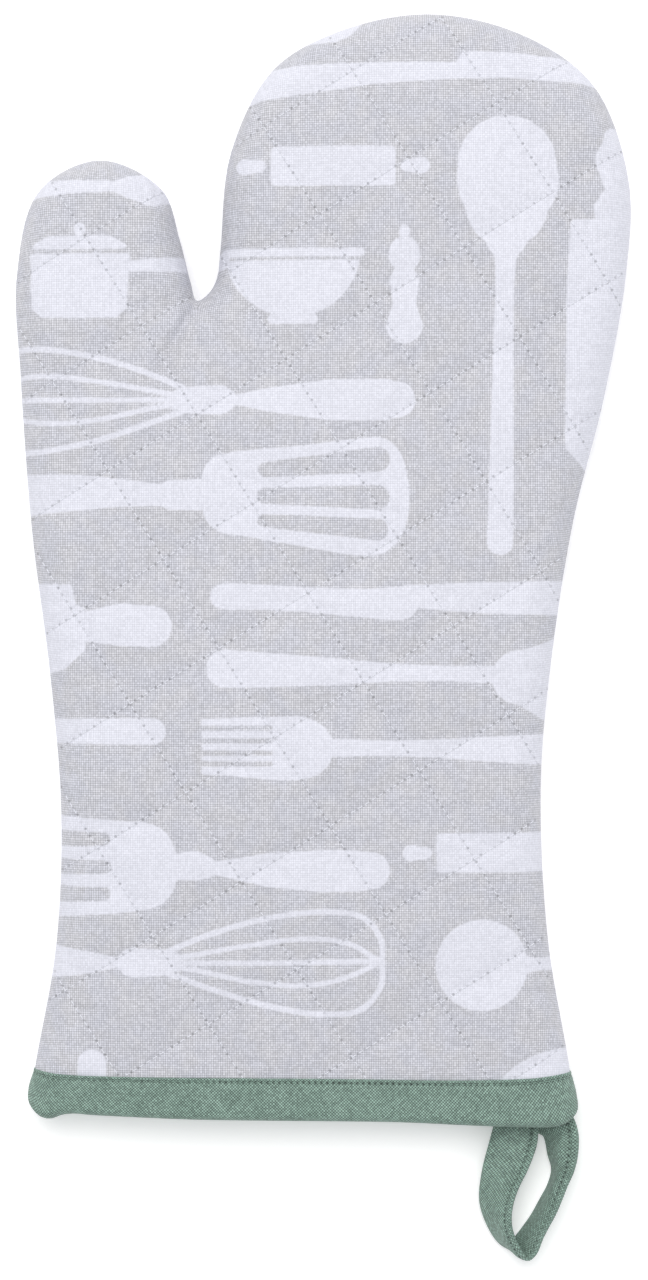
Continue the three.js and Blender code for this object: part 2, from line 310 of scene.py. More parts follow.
def simulate_quilting():
    """Puffs and puckers of one quilted panel: cloth a little too big for its frame of stitch
    rows, pushed out by the wadding. Returns heights on a grid in the quilt frame."""
    corners = quilt_frame(seam_line)
    low = np.floor(corners.min(0) / COARSE).astype(int) - 2
    high = np.ceil(corners.max(0) / COARSE).astype(int) + 2
    i, j = np.meshgrid(*[np.arange(a, b + 1) for a, b in zip(low, high)], indexing="ij")
    uv = np.stack([i.ravel(), j.ravel()], 1) * COARSE
    plan = from_quilt_frame(uv)
    kept = inside(plan, seam_line)

    per_cell = round(QUILT_PITCH / COARSE)
    on_row = (i.ravel() % per_cell == 0) | (j.ravel() % per_cell == 0)
    held = (on_row | (from_line(plan, seam_line)[0] < COARSE * 1.1))[kept]
    index = np.full(len(uv), -1)
    index[kept] = np.arange(kept.sum())
    start = np.zeros((kept.sum(), 3))
    start[:, :2] = uv[kept] * CLOTH_SCALE
    start[:, 2] = 0.2 * CLOTH_SCALE * (1 + noise(uv[kept], 3.1, 5)) * ~held
    mesh = bpy.data.meshes.new("quilting")
    mesh.from_pydata(start.tolist(), [], grid_quads(index.reshape(i.shape)).tolist())
    sheet = bpy.data.objects.new("quilting", mesh)
    scene = bpy.context.scene
    scene.collection.objects.link(sheet)
    sheet.vertex_groups.new(name="held").add(np.flatnonzero(held).tolist(), 1.0, "REPLACE")
    settings = sheet.modifiers.new("cloth", "CLOTH").settings
    for name, value in CLOTH_PRESSURE.items():
        setattr(settings, name, value)
    settings.effector_weights.gravity = 0
    for step in range(1, CLOTH_STEPS + 1):
        scene.frame_set(step)
    done = sheet.evaluated_get(bpy.context.evaluated_depsgraph_get()).to_mesh()
    places = np.empty(len(done.vertices) * 3)
    done.vertices.foreach_get("co", places)
    heights = np.zeros(len(uv))
    heights[kept] = places.reshape(-1, 3)[:, 2] / CLOTH_SCALE
    scene.frame_set(1)
    bpy.data.objects.remove(sheet)
    bpy.data.meshes.remove(mesh)
    return low, heights.reshape(i.shape)


grid_low, grid_heights = simulate_quilting()


def relief(points):
    """The quilted panel's height over its stitch rows, smoothly between grid points."""
    at = quilt_frame(points) / COARSE - grid_low
    cell = np.floor(at).astype(int)
    f = at - cell
    weights = [
        -0.5 * f**3 + f**2 - 0.5 * f,
        1.5 * f**3 - 2.5 * f**2 + 1,
        -1.5 * f**3 + 2 * f**2 + 0.5 * f,
        0.5 * f**3 - 0.5 * f**2,
    ]
    most = np.array(grid_heights.shape) - 1
    total = np.zeros(len(points))
    for a in range(4):
        for b in range(4):
            i, j = np.clip(cell + (a - 1, b - 1), 0, most).T
            total += weights[a][:, 0] * weights[b][:, 1] * grid_heights[i, j]
    return total * PUFF * smooth(RELIEF_FROM, RELIEF_FULL, points[:, 1])


# ---------------------------------------------------------------- the mitt's form


def near_cuff(y):
    """1 at the cuff edge, where the empty mitt lies flatter, to 0 over the hand."""
    return 1 - smooth(-10, 120, y)


def seam_height(y):
    """The seam's height over the table."""
    return SEAM_LEVEL - SEAM_SINK * near_cuff(y)


def creases(points, distance):
    """Folds of cloth that pull away from the corner between thumb and fingers."""
    away = points - np.array(CROTCH)
    total = np.zeros(len(points))
    for degrees, depth, reach, width in CREASES:
        c, s = math.cos(math.radians(degrees)), math.sin(math.radians(degrees))
        along, across = away @ np.array([c, s]), away @ np.array([-s, c])
        spread = width * (0.5 + np.clip(along, 0, reach) / reach)
        fade = smooth(0, 3, along) * (1 - smooth(0.3 * reach, reach, along))
        total -= depth * fade * np.exp(-((across / spread) ** 2))
    return total * smooth(0, 4, distance)


def form(points, side, inset=0.0, quilted=True):
    """The 3-D place of plan points on one face of the mitt, shrunk by an inset, and the
    cloth's outward normal there."""
    distance, nearest = from_line(points, seam_dense)
    inward = points - nearest
    length = np.linalg.norm(inward, axis=1)
    close = length < 1e-3
    if close.any():
        k = ((points[close][:, None] - seam_dense) ** 2).sum(2).argmin(1)
        inward[close] = -seam_normals[k]
        length[close] = 1
    inward /= length[:, None]
    y = points[:, 1]
    cuff = near_cuff(y)
    tall = FACE_RISE[side] - FACE_SINK * cuff - inset
    reach = EDGE_ROUND - inset
    lean = 1 - np.clip((distance - inset) / reach, 0, 1)  # the cosine of the edge's turn
    rise = np.sqrt(1 - lean**2)
    height = tall * rise
    if side == FRONT:
        crown = 1 - np.exp(-np.maximum(distance - EDGE_ROUND, 0) / CROWN_REACH)
        height += (CROWN_RISE - CROWN_SINK * cuff) * crown
        swell = sum(share * noise(points, size, seed) for size, seed, share in SWELLS)
        swell = SWELL_RISE * swell * smooth(SWELLS_FROM, SWELLS_FULL, distance)
        height += swell * (1 - SWELLS_EASE * cuff)
        height += creases(points, distance)
    normal = unit(np.column_stack([-inward * (lean / reach)[:, None], side * rise / tall]))
    place = np.column_stack([points, seam_height(y) + side * height])
    if quilted:
        place += normal * relief(points)[:, None] * RELIEF_SHARE[side]
        dip = SEAM_DIP * np.exp(-((np.arccos(lean) * reach / SEAM_DIP_WIDTH) ** 2))
        place[:, :2] += inward * dip[:, None]
    if side == REAR:
        floor = TABLE_GAP + inset
        place[:, 2] = floor + np.logaddexp(0, (place[:, 2] - floor) * 3) / 3
    return place, normal


def plan_mesh(spacing, inset=0.0):
    """Plan points, triangles and quads that fill the seam line down to the cuff. Rows of
    quads follow the seam, and triangles over the quilting's own grid fill the middle."""
    reach = EDGE_ROUND - inset
    step = EDGE_STEP * spacing / FINE * EDGE_ROUND / reach
    rows = max(3, round(EDGE_STEP * (EDGE_ROWS - 1) / step)) + 1
    depths = inset + reach * (1 - np.cos(np.arange(rows) * step))
    above = seam_dense[:, 1] > CLOTH_END
    line, normal = seam_dense[above], -seam_normals[above]
    deep = line + normal * depths[-1]
    steps = [np.linalg.norm(np.diff(edge, axis=0), axis=1) for edge in (line, deep)]
    run = np.r_[0, np.cumsum(np.maximum(*steps))]
    count = round(run[-1] / (spacing * 1.2))
    number = np.arange(len(run))
    pick = np.interp(np.linspace(0, run[-1], count), run, number)
    line, normal = sample(line, number, pick), unit(sample(normal, number, pick))
    rings = np.stack([line + normal * depth for depth in depths])
    index = np.arange(rows * count).reshape(rows, count)

    inner = rings[-1]
    cuff = even(np.array([inner[-1], inner[0]]), spacing)[1:-1]
    border = np.vstack([inner, cuff])
    low, high = quilt_frame(border).min(0), quilt_frame(border).max(0)
    cells = [
        np.arange(math.floor(a / spacing), math.ceil(b / spacing) + 1)
        for a, b in zip(low, high)
    ]
    u, v = np.meshgrid(*cells, indexing="ij")
    middle = from_quilt_frame(np.stack([u.ravel(), v.ravel()], 1) * spacing)
    middle = middle[inside(middle, border)]
    gap, _ = from_line(middle, np.vstack([border, border[:1]]))
    flat = np.vstack([border, middle[gap > spacing * 0.6]])
    edges = [(k, (k + 1) % len(border)) for k in range(len(border))]
    made, _, faces, origins, _, _ = delaunay_2d_cdt(
        [Vector(p) for p in flat.tolist()], edges, [], 1, 1e-7
    )
    source = np.array([o[0] if o else -1 for o in origins])
    if (source < 0).any() or len(made) != len(flat):
        raise RuntimeError("the plan's triangulation moved or added points")
    renumber = np.r_[index[-1], rows * count + np.arange(len(flat) - count)]
    points = np.vstack([rings.reshape(-1, 2), flat[count:]])
    return points, renumber[source[np.array(faces)]], grid_quads(index)


# ---------------------------------------------------------------- bodies


def body_at(points):
    """The body that each plan point moves with, as an array of names."""
    past = {
        name: (points[:, :2] - axis) @ np.array(way) > -reach
        for name, (axis, way, reach) in FOLDS.items()
    }
    thumb_side = points[:, 0] < CROTCH[0]
    names = np.full(len(points), "hand", dtype="<U8")
    names[past["fingers"] & ~thumb_side] = "fingers"
    names[past["thumb"] & thumb_side] = "thumb"
    return names


def attach(piece, body):
    """Rides the piece on the hand; for any other body it only bakes the piece's transform, and the
    bend's ends it works out go unused.
    """
    if body == "hand":
        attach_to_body(piece, "hand")
    else:
        start, end = BENDS[body]
        to_row(start)
        to_row(end)
        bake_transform(piece)


# ---------------------------------------------------------------- mesh making


def add_piece(name, node, body, points, faces, look, attributes=None, normals=None):
    """A smooth mesh piece from plan-frame points in millimetres. It stands for a CAD node, whose
    part it hides, and rides on the hand when its body is the hand. Its look is a material and the
    record's slot for it; the slot is not used."""
    material, slot = look
    mesh = bpy.data.meshes.new(name)
    mesh.from_pydata(to_row(points).tolist(), [], [list(map(int, f)) for f in faces])
    mesh.materials.append(material)
    for label, values in (attributes or {}).items():
        if values.ndim == 1:
            attribute = mesh.attributes.new(label, "FLOAT", "POINT")
            attribute.data.foreach_set("value", values.astype(np.float32))
        else:
            attribute = mesh.attributes.new(label, "FLOAT_VECTOR", "POINT")
            flat = np.zeros((len(values), 3), np.float32)
            flat[:, : values.shape[1]] = values
            attribute.data.foreach_set("vector", flat.ravel())
    mesh.shade_smooth()
    if normals is not None:
        mesh.normals_split_custom_set_from_vertices(normals.tolist())
    piece = bpy.data.objects.new(name, mesh)
    bpy.context.scene.collection.objects.link(piece)
    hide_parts(node)
    attach(piece, body)
    return piece


def surface_normals(points, faces):
    """Area-weighted vertex normals of triangles and quads."""
    total = np.zeros_like(points)
    for group in faces:
        a, b, c = points[group[:, 0]], points[group[:, 1]], points[group[:, 2]]
        across = np.cross(b - a, c - a)
        for corner in group.T:
            np.add.at(total, corner, across)
    return unit(total)


def shifted(faces, by):
    """The same faces over vertices numbered from `by` on."""
    return [[v + by for v in face] for face in faces]


def tube_faces(rings, around, ends=True):
    """Quads over rings of points joined in a row, with the tube's two ends filled."""
    i = np.arange(rings - 1)[:, None] * around
    j = np.arange(around)
    k = (j + 1) % around
    faces = np.stack([i + j, i + k, i + around + k, i + around + j], -1).reshape(-1, 4).tolist()
    if ends:
        faces.append(list(range(around))[::-1])
        faces.append(list(range((rings - 1) * around, rings * around)))
    return faces


# Place along a stitch from -1 to 1, and its girth and rise there in thread radii.
STITCH_PROFILE = [
    (-1, 0.45, -1.1), (-0.82, 0.85, -0.35), (-0.4, 1, 0), (0.4, 1, 0), (0.82, 0.85, -0.35),
    (1, 0.45, -1.1),
]
STITCH_SIDES = 6


def stitch_mesh(centres, along, up, length, radius=THREAD_RADIUS):
    """Short rounded lengths of thread, each dipping into the cloth at its two ends."""
    along = unit(along)
    across = unit(np.cross(up, along))
    up = np.cross(along, across)
    points = []
    for place, girth, rise in STITCH_PROFILE:
        middle = centres + along * place * length / 2 + up * rise * radius
        for turn in np.arange(STITCH_SIDES) * 2 * math.pi / STITCH_SIDES:
            spread = across * math.cos(turn) + up * math.sin(turn)
            points.append(middle + spread * girth * radius)
    one = tube_faces(len(STITCH_PROFILE), STITCH_SIDES)
    faces = [face for k in range(len(centres)) for face in shifted(one, k * len(points))]
    return np.stack(points, 1).reshape(-1, 3), faces


# ---------------------------------------------------------------- the print


def bar(p, *stations):
    """Signed distance to a rounded bar through stations (x, y, radius)."""
    best = np.full(len(p), np.inf)
    for (x0, y0, r0), (x1, y1, r1) in zip(stations, stations[1:]):
        start, step = np.array([x0, y0]), np.array([x1 - x0, y1 - y0])
        t = np.clip((p - start) @ step / (step @ step), 0, 1)
        gap = np.linalg.norm(p - start - t[:, None] * step, axis=1)
        best = np.minimum(best, gap - r0 - t * (r1 - r0))
    return best


def plate(p, *corners, soften=0.8):
    """Signed distance to a flat shape with slightly rounded corners."""
    outline = np.array(corners + corners[:1], float)
    gap, _ = from_line(p, outline)
    return np.where(inside(p, outline[:-1]), -gap, gap) - soften


def smooth_plate(p, *points):
    """Signed distance to a flat shape with a smooth outline through the points."""
    outline = spline([points[-1], *points, points[0], points[1]], 6)[6:-6]
    gap, _ = from_line(p, outline)
    return np.where(inside(p, outline[:-1]), -gap, gap)


def wire(p, *points, radius=0.8):
    """Signed distance to a bent wire."""
    return from_line(p, spline(points, 8))[0] - radius


def join(*shapes):
    """Signed distance to several shapes as one."""
    return np.minimum.reduce(shapes)


def cut(shape, *holes):
    """Signed distance to a shape with holes in it."""
    return np.maximum(shape, -join(*holes))


def whisk(p, x, y, way):
    """A balloon whisk with its wires' root at (x, y), pointing along +x or -x."""
    p = (p - (x, y)) * (way, 1)
    wires = [
        wire(p, (-2, 2.5), (11, 8), (28, 13), (47, 15.3), (58, 13.4), (63, 7), (63.4, 0)),
        wire(p, (-2, -2.5), (15, -8.6), (30, -13), (45, -15.3), (57, -14), (63, -7), (63.4, 0)),
        wire(p, (0, 1), (10, 2.8), (24, 5.2), (42, 7.2), (54, 5.6), (62, 1), radius=0.7),
        wire(p, (0, 0), (36, 0), (62, 0.6), radius=0.75),
        wire(p, (0, -1), (10, -2.6), (24, -5.6), (41, -6.8), (54, -3.9), (62, 0), radius=0.7),
    ]
    collar = bar(p, (-13, 0, 2.6), (-10.5, 0, 4.3), (-3, 0, 4), (1.5, 0, 3))
    handle = bar(p, (-15, 0, 1.4), (-25, 0, 3.5), (-43, 0, 6), (-59, 0, 6.1), (-63, 0, 5.2))
    return join(*wires, collar, handle)


def table_knives(p):
    top = plate(
        p, (-20, 311), (17, 313), (46, 313), (47.5, 315.8), (50, 316.3), (84, 314.3),
        (90, 308), (60, 310), (45, 309.6), (20, 308), (-20, 302.4),
    )
    handle = smooth_plate(
        p, (-27.3, 156), (-25.8, 158.8), (-21.5, 159.6), (-0.6, 158.6), (19.6, 158.1), (33, 158.3),
        (34.4, 156), (33.9, 153), (32.9, 150.8), (30.6, 149.3), (26.4, 148.9), (17.9, 149.7),
        (-0.6, 151.4), (-15.8, 152), (-22, 152), (-26, 153),
    )
    blade = plate(
        p, (30, 158.3), (48.3, 159), (64.4, 159.5), (90, 160), (90, 151), (64.4, 151.5),
        (51.7, 151.8), (43.3, 152.4), (33, 153.4),
    )
    return join(top, handle, blade)


def wooden_spoon(p):
    return bar(
        p, (60.3, 283.2, 14.6), (60.5, 279, 15), (60.2, 271, 12), (60, 262, 6.2),
        (59.8, 256, 3.2), (59.6, 248, 2.7), (58.3, 172, 3.9),
    )


def serving_spoon(p):
    return bar(
        p, (-22.8, 134.5, 5.6), (-15.8, 134.3, 5.3), (9.5, 133.7, 3.9), (26.4, 133.4, 2.6),
        (43.3, 133.1, 2.15), (58, 132.7, 2.6), (64, 132, 8), (74, 131, 12.5),
    )


def cleavers(p):
    handle = bar(p, (92.5, 291.5, 3.6), (92.5, 285, 6), (94, 276, 4.6), (93, 270.5, 7))
    blade = plate(
        p, (80, 266.4), (100, 267.2), (104, 191), (90, 191), (84.6, 194), (78.4, 200),
        (78.8, 248),
    )
    small_blade = plate(
        p, (-95, 159.2), (-69, 158.6), (-67.8, 153), (-65, 151.5), (-65, 140.5),
        (-70.5, 135.2), (-75, 134), (-95, 134),
    )
    small_handle = bar(p, (-64, 147, 4.5), (-54, 147.5, 6.2), (-44.7, 147, 6))
    return join(handle, blade, small_blade, small_handle)


def slotted_turner(p):
    handle = bar(p, (-95, 185.5, 6.8), (-80, 186, 6), (-66, 186.6, 5.2), (-54.7, 186.5, 4.1),
                 (-41.1, 185.7, 3.1))
    collar = bar(p, (-38.5, 185.8, 4.4), (-31, 185.8, 4.6))
    head = smooth_plate(
        p, (-30, 186), (-29.4, 192.5), (-27, 196.3), (-21.4, 198.3), (0, 200.3), (18.1, 202.6),
        (24.5, 202.2), (28.6, 198.5), (31, 190), (31.2, 181), (28.6, 173), (24, 168.8),
        (17, 168), (0, 170.6), (-16.5, 173.6), (-24.5, 175), (-28.6, 178.6),
    )
    slots = [
        bar(p, (-10.9, 193.2, 2.3), (22, 196.3, 3.8)),
        bar(p, (-11.3, 185.5, 2.4), (22, 185.1, 3.7)),
        bar(p, (-11.5, 178.2, 2.0), (22, 175.6, 3.3)),
    ]
    return join(handle, collar, cut(head, *slots))


def dinner_fork(p):
    head = smooth_plate(
        p, (-35, 118), (-22, 119.9), (-8.4, 120.3), (0, 120.3), (5, 118.3), (8.2, 114.8),
        (8.8, 111), (8, 107), (5, 103.7), (0, 101.9), (-6.4, 101.7), (-21, 103), (-35, 105),
    )
    head = np.maximum(head, -29.8 - p[:, 0])
    slots = [bar(p, (-34, y, 0.85), (-9.5, y, 0.8)) for y in (117, 113.3, 109.6, 106.4)]
    handle = bar(p, (8, 111.3, 2.6), (26, 111.1, 2.1), (38, 111, 2.6), (64.4, 110.6, 4.15),
                 (80, 110.2, 5))
    return join(cut(head, *slots), handle)


def serving_fork(p):
    head = smooth_plate(
        p, (-98, 92.5), (-75, 91), (-54.7, 89.5), (-46, 88.8), (-41, 86.6), (-38.4, 82.5),
        (-37.4, 77.5), (-37.6, 71.5), (-39.5, 67), (-43.5, 64), (-50, 62.6), (-70, 61),
        (-98, 59.5),
    )
    slots = [
        bar(p, (-95, 84.1, 3.4), (-59, 84.1, 2)),
        bar(p, (-95, 75.7, 3.2), (-58.5, 75.7, 2)),
        bar(p, (-95, 67.2, 3.4), (-59, 67.7, 2.1)),
    ]
    collar = bar(p, (-37, 76, 3.9), (-32, 76.3, 4.4), (-29, 75.8, 3.4), (-26, 75.5, 1.9))
    handle = bar(p, (-26, 75.5, 1.9), (-10.3, 75, 5), (6, 74.7, 6.2), (16, 74.7, 6),
                 (20.3, 74.8, 5.4))
    return join(cut(head, *slots), collar, handle)


def rolling_pin(p, x, y):
    p = p - (x, y)
    body = plate(p, (-17, 4.4), (17, 4.4), (17, -4.4), (-17, -4.4), soften=1.4)
    return join(body, bar(p, (-26, 0, 2.4), (-21.6, 0, 1.7)), bar(p, (21.6, 0, 1.7), (26, 0, 2.4)))


def saucepan(p, x, y, way):
    p = (p - (x, y)) * (way, 1)
    pot = plate(p, (-14, 5.5), (14, 5.5), (13, -9.6), (10.5, -12), (-10.5, -12), (-13, -9.6))
    lid = plate(p, (-13, 8.4), (-9, 10.6), (9, 10.6), (13, 8.4))
    knob = bar(p, (0, 13.2, 1.7), (0, 13.6, 1.7))
    return join(pot, lid, knob, bar(p, (15, 2.6, 1.5), (24, 3, 2), (42, 4.4, 2.4)))


def mixing_bowl(p, x, y):
    p = p - (x, y)
    bowl = np.maximum(np.hypot(p[:, 0], p[:, 1] - 9.5) - 20, p[:, 1] - 6.2)
    rim = bar(p, (-20, 8.6, 1.2), (20, 8.6, 1.2))
    return join(bowl, rim, bar(p, (-6, -11.2, 1.4), (6, -11.2, 1.4)))


def pepper_mill(p, x, y):
    p = p - (x, y)
    foot = bar(p, (0, -10, 5.4), (0, -4, 3.4), (0, 3, 4.2))
    head = bar(p, (0, 10.4, 4.6), (0, 11.6, 4.4))
    return join(foot, head, bar(p, (0, 17.4, 1.6), (0, 17.8, 1.6)))


def teaspoon(p, x, y):
    p = p - (x, y)
    return bar(p, (-19, 0, 3), (-8, 0, 2), (6, 0, 1.5), (11, 0, 3.5), (17, 0, 5.4), (20, 0, 4.6))


def frying_pan(p, x, y):
    p = p - (x, y)
    pan = np.hypot(*p.T) - 13.6
    return join(pan, bar(p, (12, 0, 2.6), (17, 0, 1.8), (32, 0, 2.6)))


def print_distance(p):
    """Signed distance from plan points to the white silhouettes, below zero inside them."""
    cut_off = [  # silhouettes of which the mitt shows only an end
        bar(p, (-90, 116, 3.4), (-44.4, 116, 3.9)),
        bar(p, (-62.8, 5, 4.2), (-62.8, 17, 4.2)),
        bar(p, (78, -8, 25), (78, -4, 25)),
        bar(p, (-4, 331, 10.6), (7.5, 331, 10.8)),
        bar(p, (-96, 312, 5), (-50, 309, 6.5)),
    ]
    return join(
        *cut_off, table_knives(p), wooden_spoon(p), serving_spoon(p), cleavers(p),
        whisk(p, -35, 213.9, -1), whisk(p, -39.9, 47.3, 1), slotted_turner(p),
        dinner_fork(p), serving_fork(p), rolling_pin(p, 9, 283), rolling_pin(p, 58, 80),
        teaspoon(p, -62, 277), saucepan(p, -66, 251, 1), mixing_bowl(p, -3, 249),
        pepper_mill(p, 30, 246), frying_pan(p, 53, 46.5), teaspoon(p, -60, 333),
    )


# ---------------------------------------------------------------- materials


def srgb(*rgb):
    """A display colour, 0 to 255, as the linear colour a shader takes."""
    linear = [(c / 255 / 12.92) if c < 11 else ((c / 255 + 0.055) / 1.055) ** 2.4 for c in rgb]
    return (*linear, 1)


GREY_COOL, GREY_WARM = srgb(212, 213, 222), srgb(214, 214, 220)
WHITE_INK = srgb(228, 229, 239)
GREEN_DEEP, GREEN_PALE = srgb(147, 175, 162), srgb(155, 183, 170)


def shader_node(tree, kind, inputs, output=0, **settings):
    """Adds a node with its settings and inputs, and returns one of its outputs."""
    node = tree.nodes.new("ShaderNode" + kind)
    for name, value in settings.items():
        setattr(node, name, value)
    for name, value in inputs.items():
        if isinstance(value, Value):
            tree.links.new(value.socket, node.inputs[name])
        else:
            node.inputs[name].default_value = value
    return Value(tree, node.outputs[output])


class Value:
    """A node socket that can be used in a formula."""

    def __init__(self, tree, socket):
        self.tree, self.socket = tree, socket

    def math(self, operation, *others):
        inputs = dict(enumerate((self, *others)))
        return shader_node(self.tree, "Math", inputs, operation=operation)

    def __add__(self, other):
        return self.math("ADD", other)

    def __sub__(self, other):
        return self.math("SUBTRACT", other)

    def __mul__(self, other):
        return self.math("MULTIPLY", other)

    def absolute(self):
        return self.math("ABSOLUTE")

    def from_one(self):
        return self.math("MULTIPLY_ADD", -1.0, 1.0)

    def off_multiple(self, pitch):
        """Distance from the nearest whole multiple of a pitch."""
        off_half = ((self * (1 / pitch)).math("FRACT") - 0.5).absolute()
        return off_half.math("MULTIPLY_ADD", -pitch, pitch / 2)

    def ramp(self, low, high):
        """0 at low to 1 at high, smoothly."""
        inputs = {"Value": self, "From Min": low, "From Max": high}
        return shader_node(self.tree, "MapRange", inputs, interpolation_type="SMOOTHSTEP")

    def mix(self, low, high):
        """A colour from low, where this is 0, to high, where it is 1."""
        colour_a, colour_b, colour_out = 6, 7, 2  # the Mix node's sockets for colours
        inputs = {"Factor": self, colour_a: low, colour_b: high}
        return shader_node(self.tree, "Mix", inputs, colour_out, data_type="RGBA")

    def dimmed(self, factor):
        """This colour times a number."""
        inputs = {0: self, "Scale": factor}
        return shader_node(self.tree, "VectorMath", inputs, operation="SCALE")

    def parts(self):
        """The x, y and z of a vector."""
        node = shader_node(self.tree, "SeparateXYZ", {0: self}).socket.node
        return [Value(self.tree, output) for output in node.outputs]


class Material:
    """A new material with a Principled shader and the inputs that the patterns need."""

    def __init__(self, name, roughness, sheen, specular=0.3):
        self.material = bpy.data.materials.new(name)
        self.material.use_nodes = True
        self.tree = self.material.node_tree
        self.shader = self.tree.nodes["Principled BSDF"]
        self.shader.inputs["Roughness"].default_value = roughness
        self.shader.inputs["Specular IOR Level"].default_value = specular
        self.shader.inputs["Sheen Weight"].default_value = sheen
        self.shader.inputs["Sheen Roughness"].default_value = 0.5

    def attribute(self, name, output="Vector"):
        return shader_node(self.tree, "Attribute", {}, output, attribute_name=name)

    def plane(self, name):
        """The x and y of a vector attribute."""
        return self.attribute(name).parts()[:2]

    def pattern(self, kind, output, x, y, **inputs):
        place = shader_node(self.tree, "CombineXYZ", {0: x, 1: y})
        return shader_node(self.tree, kind, {"Vector": place, **inputs}, output)

    def noise(self, x, y, detail=2.0):
        """Noise around 0.5 over two coordinates, with features about 1 apart."""
        return self.pattern("TexNoise", "Fac", x, y, Scale=1, Detail=detail)

    def speckle(self, x, y):
        """An even random number from 0 to 1 in each whole cell of two coordinates."""
        return self.pattern("TexWhiteNoise", "Value", x.math("FLOOR"), y.math("FLOOR"))

    def finish(self, colour, height, strength, depth):
        """Sets the colour, and a bump whose height of 1 stands `depth` metres proud."""
        inputs = {"Height": height, "Strength": strength, "Distance": depth}
        bump = shader_node(self.tree, "Bump", inputs)
        self.tree.links.new(colour.socket, self.shader.inputs["Base Color"])
        self.tree.links.new(bump.socket, self.shader.inputs["Normal"])
        return self.material


def plain_weave(material, x, y, pitch):
    """Height of a plain weave, 0 in the holes to 1 on the threads, and its thread tones."""
    wander = 0.35  # how far a thread strays, in pitches
    s = x * (1 / pitch) + (material.noise(x * 0.25, y * 0.09) - 0.5) * wander
    t = y * (1 / pitch) + (material.noise(y * 0.25, x * 0.09) - 0.5) * wander
    warp_side = (s * math.pi).math("SINE").absolute()
    weft_side = (t * math.pi).math("SINE").absolute()
    warp_top = warp_side.math("POWER", 0.6) * (weft_side * 0.4 + 0.6)
    weft_top = weft_side.math("POWER", 0.6) * (warp_side * 0.4 + 0.6)
    over = (s.math("FLOOR") + t.math("FLOOR")).math("FLOORED_MODULO", 2.0)
    height = warp_top * over.from_one() + weft_top * over
    warp_tone = material.noise(s * 1.3, t * 0.035)
    weft_tone = material.noise(t * 1.3, s * 0.035)
    thread_tone = warp_tone * over.from_one() + weft_tone * over - 0.5
    return height, thread_tone + (material.speckle(s, t) - 0.5) * 0.5


def needle_holes(material, pitch, families):
    """1 in the small holes where the thread of a stitch row enters the cloth."""
    u, v = material.plane("stitch")
    holes = []
    for across, along in ((u, v), (v, u))[:families]:
        gap, step = across.off_multiple(QUILT_PITCH), along.off_multiple(pitch)
        apart = (gap * gap + step * step).math("SQRT")
        holes.append(apart.ramp(0.2, 0.62).from_one())
    return holes[0] if families == 1 else holes[0].math("MAXIMUM", holes[1])


def printed_cotton():
    """The grey and white printed cotton of the skins."""
    cloth = Material("printed_cotton", roughness=0.85, sheen=0.1)
    x, y = cloth.plane("rest")
    height, tone = plain_weave(cloth, x, y, WEAVE_PITCH)
    bleed = (cloth.noise(x * 1.7, y * 1.7) - 0.5) * 0.7
    edge = cloth.attribute("print", "Fac") + bleed + (height - 0.7) * 0.5
    white = edge.ramp(-0.3, 0.3).from_one()
    patches = cloth.noise(x * (1 / 8), y * (1 / 8), detail=5).ramp(0.35, 0.65)
    colour = white.mix(patches.mix(GREY_COOL, GREY_WARM), WHITE_INK)
    streaks = tone * (white * -0.2 + 0.42) + 1
    # Painted shade: the colour darkens in the holes between the threads, less under the white ink.
    hole_shade = height.from_one().math("POWER", 1.5) * (white * -0.4 + 0.7)
    uneven = cloth.noise(x * 0.5, y * 0.5).ramp(0.35, 0.65) * 0.7 + 0.3
    # Painted shade: the needle holes of the quilting rows darken the colour, as well as sinking
    # the bump.
    stitches = needle_holes(cloth, STITCH_PITCH, families=2) * uneven
    dim = streaks * hole_shade.from_one() * (stitches * 0.4).from_one()
    return cloth.finish(colour.dimmed(dim), height - stitches * 1.5, 0.4, 0.00014)


def green_tape(name):
    """The grey-green cotton of the binding and the loop, woven on the bias."""
    cloth = Material(name, roughness=0.8, sheen=0.12)
    x, y = cloth.plane("rest")
    height, tone = plain_weave(cloth, x, y, TAPE_WEAVE_PITCH)
    colour = cloth.noise(x * 0.12, y * 0.12, detail=3).ramp(0.3, 0.7).mix(GREEN_DEEP, GREEN_PALE)
    # Painted shade: the needle holes of the topstitch row darken the colour, as well as sinking
    # the bump.
    holes = needle_holes(cloth, TOPSTITCH_PITCH, families=1)
    # Painted shade: a darker band along the stitch row, where its groove lies.
    row_groove_shade = cloth.plane("stitch")[0].absolute().ramp(0.1, 0.7).from_one() * 0.12
    # Painted shade: the colour darkens in the holes between the threads.
    hole_shade = height.from_one().math("POWER", 1.3) * 1.35
    dim = (tone * 0.9 + 1) * hole_shade.from_one() * (holes * 0.65).from_one()
    dim = dim * row_groove_shade.from_one()
    return cloth.finish(colour.dimmed(dim), height - holes * 1.5, 0.5, 0.00014)


def plain_cotton(name, low, high):
    """Unprinted cotton between two close tones."""
    cloth = Material(name, roughness=0.9, sheen=0.1)
    x, y = cloth.plane("rest")
    height, tone = plain_weave(cloth, x, y, WEAVE_PITCH)
    # Painted shade: the colour darkens in the holes between the threads.
    dim = (height.from_one() * height.from_one() * 0.25).from_one()
    return cloth.finish((tone + 0.5).mix(low, high).dimmed(dim), height, 0.3, 0.0001)


def fibre(name, low, high):
    """Loose white wadding."""
    wad = Material(name, roughness=1, sheen=0.3)
    x, y = wad.plane("rest")
    strands = wad.noise(x * 1.5, y * 0.35, detail=6) * 0.5 + wad.noise(x * 0.3, y * 1.4) * 0.5
    return wad.finish(strands.ramp(0.3, 0.7).mix(low, high), strands, 0.6, 0.0004)


